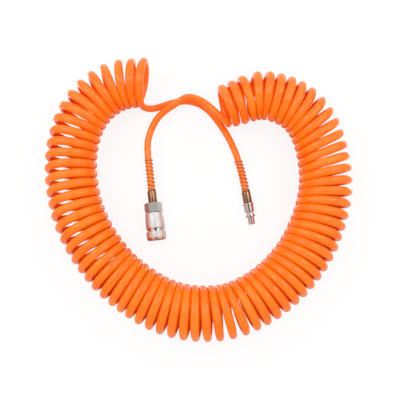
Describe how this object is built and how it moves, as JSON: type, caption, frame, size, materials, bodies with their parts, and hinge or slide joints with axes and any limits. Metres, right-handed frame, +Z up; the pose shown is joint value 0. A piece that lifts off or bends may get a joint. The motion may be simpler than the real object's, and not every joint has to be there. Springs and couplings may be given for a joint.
{
  "type": "coiled air hose",
  "caption": "Recoil air hose: glossy orange plastic hose wound into a long springy coil bent in an open ring, with a push-to-connect socket and a plug nipple on its free ends.",
  "frame": {"origin": "on the surface the hose lies on, below the middle of the box around the two end fittings", "axes": "+Z up from the surface, +Y towards the open side of the ring that the coil makes, +X from the socket towards the plug"},
  "size_m": [0.352, 0.3238, 0.062],
  "materials": {
    "hose": "glossy, slightly translucent polyurethane",
    "plated_steel": "turned, nickel plated",
    "ferrule_steel": "plated, satin",
    "spring_wire": "drawn wire",
    "ball_steel": "polished",
    "valve_brass": "turned",
    "seal_rubber": "matte"
  },
  "bodies": {
    "hose_set": {"hose_coil": "hose", "hose_tail_socket": "hose", "hose_tail_plug": "hose", "socket_spring_guard": "spring_wire", "socket_ferrule": "ferrule_steel", "socket_adapter": "plated_steel", "socket_body": "plated_steel", "body_seal": "seal_rubber", "sleeve_spring": "spring_wire", "stop_ring": "spring_wire", "valve_spring": "spring_wire", "plug_nipple": "plated_steel", "plug_ferrule": "ferrule_steel", "plug_spring_guard": "spring_wire"},
    "sleeve": {"release_sleeve": "plated_steel"},
    "valve": {"valve_slider": "valve_brass", "valve_disc": "valve_brass", "valve_seal": "seal_rubber", "plug_packing": "seal_rubber"},
    "ball_1": {"lock_ball_1": "ball_steel"},
    "ball_2": {"lock_ball_2": "ball_steel"},
    "ball_3": {"lock_ball_3": "ball_steel"},
    "ball_4": {"lock_ball_4": "ball_steel"}
  },
  "joints": [
    {"name": "sleeve_slide", "type": "slide", "parent": "hose_set", "child": "sleeve", "axis": [0.1115, -0.9938, 0], "range_m": [0, 0.0045], "deforming": ["sleeve_spring"]},
    {"name": "valve_slide", "type": "slide", "parent": "hose_set", "child": "valve", "axis": [-0.1115, 0.9938, 0], "range_m": [0, 0.0045], "deforming": ["valve_spring"]},
    {"name": "ball_1_drop", "type": "slide", "parent": "hose_set", "child": "ball_1", "axis": [-0.7027, -0.0788, -0.7071], "range_m": [0, 0.0014]},
    {"name": "ball_2_drop", "type": "slide", "parent": "hose_set", "child": "ball_2", "axis": [0.7027, 0.0788, -0.7071], "range_m": [0, 0.0014]},
    {"name": "ball_3_drop", "type": "slide", "parent": "hose_set", "child": "ball_3", "axis": [0.7027, 0.0788, 0.7071], "range_m": [0, 0.0014]},
    {"name": "ball_4_drop", "type": "slide", "parent": "hose_set", "child": "ball_4", "axis": [-0.7027, -0.0788, 0.7071], "range_m": [0, 0.0014]}
  ],
  "couplings": [
    {"joint": "valve_slide", "follows": "sleeve_slide", "ratio": 1},
    {"joint": "ball_1_drop", "follows": "sleeve_slide", "ratio": 0.3111},
    {"joint": "ball_2_drop", "follows": "sleeve_slide", "ratio": 0.3111},
    {"joint": "ball_3_drop", "follows": "sleeve_slide", "ratio": 0.3111},
    {"joint": "ball_4_drop", "follows": "sleeve_slide", "ratio": 0.3111}
  ]
}
